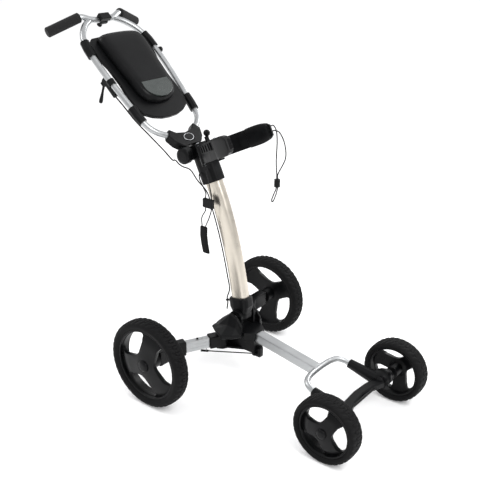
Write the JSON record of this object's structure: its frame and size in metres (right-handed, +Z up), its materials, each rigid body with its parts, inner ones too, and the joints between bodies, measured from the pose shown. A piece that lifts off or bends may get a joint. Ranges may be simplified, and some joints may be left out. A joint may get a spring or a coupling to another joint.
{
  "type": "golf push cart",
  "caption": "Folding golf push cart without a bag: wheels on folding legs, a leaning column with bag cradle arms, and a hinged loop handle with console and parking brake lever.",
  "frame": {"origin": "on the ground under the middle of the cart's overall length and width, cords left out", "axes": "+Z up, +Y towards the handle (backwards), -Y towards the front wheels, +X to the cart's left side"},
  "size_m": [0.695, 1.2234, 1.1446],
  "materials": {
    "tyre": "matt moulded rubber with a block tread",
    "black_plastic": "semi-gloss moulded nylon, fine grain",
    "console_plastic": "satin moulded plastic, fine grain",
    "aluminium": "satin anodised, drawn lengthwise",
    "champagne_aluminium": "champagne satin anodised",
    "steel": "zinc plated",
    "black_steel": "black painted rod",
    "foam": "closed-cell foam, matt",
    "smoked_lens": "smoked clear plastic",
    "badge": "silver painted, plain",
    "cord": "braided sheath",
    "strap_rubber": "moulded rubber"
  },
  "bodies": {
    "chassis": {"base_hub": "black_plastic", "column_pivot_pin": "steel", "front_beam": "aluminium", "front_yoke": "aluminium", "front_axle_bracket": "black_plastic", "front_axle": "steel", "lower_cradle_left": "black_plastic", "lower_cradle_right": "black_plastic", "leg_pivot_pin_left": "steel", "leg_pivot_pin_right": "steel"},
    "column": {"column": "champagne_aluminium", "column_foot": "black_plastic", "column_head": "black_plastic", "handle_bolt": "steel", "arm_pin_left": "steel", "arm_pin_right": "steel", "brake_cable_lower": "cord", "strap_cord": "cord", "strap_block": "black_plastic", "strap_pull": "strap_rubber"},
    "handle": {"handle_tube_left": "aluminium", "handle_tube_right": "aluminium", "handlebar": "aluminium", "grip_left": "foam", "grip_right": "foam", "handle_yoke": "black_plastic", "yoke_badge": "badge", "console_base": "console_plastic", "accessory_mount": "black_plastic", "brake_bracket": "black_plastic", "brake_cable_upper": "cord"},
    "console_lid": {"console_lid": "console_plastic", "console_lens": "smoked_lens"},
    "handle_clamp_knob": {"clamp_knob": "black_plastic"},
    "console_knob": {"console_clamp_knob": "console_plastic"},
    "mount_knob": {"mount_knob": "black_plastic"},
    "latch": {"latch_lever": "black_plastic"},
    "brake_lever": {"brake_lever": "black_plastic"},
    "rear_leg_left": {"leg_root_left": "black_plastic", "rear_leg_left": "aluminium", "leg_elbow_left": "black_plastic", "rear_axle_left": "steel"},
    "fold_link_left": {"fold_link_left": "black_steel"},
    "rear_wheel_left": {"rear_tyre_left": "tyre", "rear_wheel_left": "black_plastic"},
    "front_wheel_left": {"front_tyre_left": "tyre", "front_wheel_left": "black_plastic"},
    "cradle_arm_left": {"cradle_arm_left": "black_plastic", "bungee_cord": "cord", "cord_lock": "black_plastic"},
    "rear_leg_right": {"leg_root_right": "black_plastic", "rear_leg_right": "aluminium", "leg_elbow_right": "black_plastic", "rear_axle_right": "steel"},
    "fold_link_right": {"fold_link_right": "black_steel"},
    "rear_wheel_right": {"rear_tyre_right": "tyre", "rear_wheel_right": "black_plastic"},
    "front_wheel_right": {"front_tyre_right": "tyre", "front_wheel_right": "black_plastic"},
    "cradle_arm_right": {"cradle_arm_right": "black_plastic"}
  },
  "joints": [
    {"name": "column_fold", "type": "hinge", "parent": "chassis", "child": "column", "pos_m": [0, -0.0457, 0.232], "axis": [1, 0, 0], "range_deg": [0, 65]},
    {"name": "handle_fold", "type": "hinge", "parent": "column", "child": "handle", "pos_m": [0, 0.1533, 0.742], "axis": [1, 0, 0], "range_deg": [-100, 20]},
    {"name": "handle_clamp_turn", "type": "hinge", "parent": "column", "child": "handle_clamp_knob", "pos_m": [-0.0365, 0.1533, 0.742], "axis": [-1, 0, 0], "continuous": true},
    {"name": "latch_tilt", "type": "hinge", "parent": "column", "child": "latch", "pos_m": [0, 0.08572, 0.74775], "axis": [1, 0, 0], "range_deg": [0, 60]},
    {"name": "lid_open", "type": "hinge", "parent": "handle", "child": "console_lid", "pos_m": [0, 0.49894, 1.07662], "axis": [-1, 0, 0], "range_deg": [0, 75]},
    {"name": "console_knob_turn", "type": "hinge", "parent": "handle", "child": "console_knob", "pos_m": [0.152, 0.44721, 1.01334], "axis": [1, 0, 0], "continuous": true},
    {"name": "mount_knob_turn", "type": "hinge", "parent": "handle", "child": "mount_knob", "pos_m": [0, 0.56276, 1.10496], "axis": [0, 0.682, -0.7314], "continuous": true},
    {"name": "brake_lever_pull", "type": "hinge", "parent": "handle", "child": "brake_lever", "pos_m": [-0.1335, 0.41442, 0.94585], "axis": [-1, 0, 0], "range_deg": [0, 35]},
    {"name": "leg_fold_left", "type": "hinge", "parent": "chassis", "child": "rear_leg_left", "pos_m": [0.052, 0.0003, 0.145], "axis": [0, 0, 1], "range_deg": [0, 50]},
    {"name": "link_turn_left", "type": "hinge", "parent": "chassis", "child": "fold_link_left", "pos_m": [0.0165, -0.1077, 0.112], "axis": [0, 0, 1], "range_deg": [0, 16.15]},
    {"name": "rear_wheel_spin_left", "type": "hinge", "parent": "rear_leg_left", "child": "rear_wheel_left", "pos_m": [0.312, 0.0783, 0.145], "axis": [1, 0, 0], "continuous": true},
    {"name": "front_wheel_spin_left", "type": "hinge", "parent": "chassis", "child": "front_wheel_left", "pos_m": [0.204, -0.5087, 0.103], "axis": [1, 0, 0], "continuous": true},
    {"name": "cradle_arm_swing_left", "type": "hinge", "parent": "column", "child": "cradle_arm_left", "pos_m": [0.0405, 0.09326, 0.75409], "axis": [0, 0.4384, 0.8988], "range_deg": [-12, 40]},
    {"name": "leg_fold_right", "type": "hinge", "parent": "chassis", "child": "rear_leg_right", "pos_m": [-0.052, 0.0003, 0.145], "axis": [0, 0, -1], "range_deg": [0, 50]},
    {"name": "link_turn_right", "type": "hinge", "parent": "chassis", "child": "fold_link_right", "pos_m": [-0.0165, -0.1077, 0.112], "axis": [0, 0, -1], "range_deg": [0, 16.15]},
    {"name": "rear_wheel_spin_right", "type": "hinge", "parent": "rear_leg_right", "child": "rear_wheel_right", "pos_m": [-0.312, 0.0783, 0.145], "axis": [1, 0, 0], "continuous": true},
    {"name": "front_wheel_spin_right", "type": "hinge", "parent": "chassis", "child": "front_wheel_right", "pos_m": [-0.204, -0.5087, 0.103], "axis": [1, 0, 0], "continuous": true},
    {"name": "cradle_arm_swing_right", "type": "hinge", "parent": "column", "child": "cradle_arm_right", "pos_m": [-0.0405, 0.09326, 0.75409], "axis": [0, -0.4384, -0.8988], "range_deg": [-12, 40]}
  ],
  "couplings": [
    {"joint": "leg_fold_right", "follows": "leg_fold_left", "ratio": 1},
    {"joint": "link_turn_left", "follows": "leg_fold_left", "ratio": 0.323},
    {"joint": "link_turn_right", "follows": "leg_fold_left", "ratio": 0.323}
  ]
}
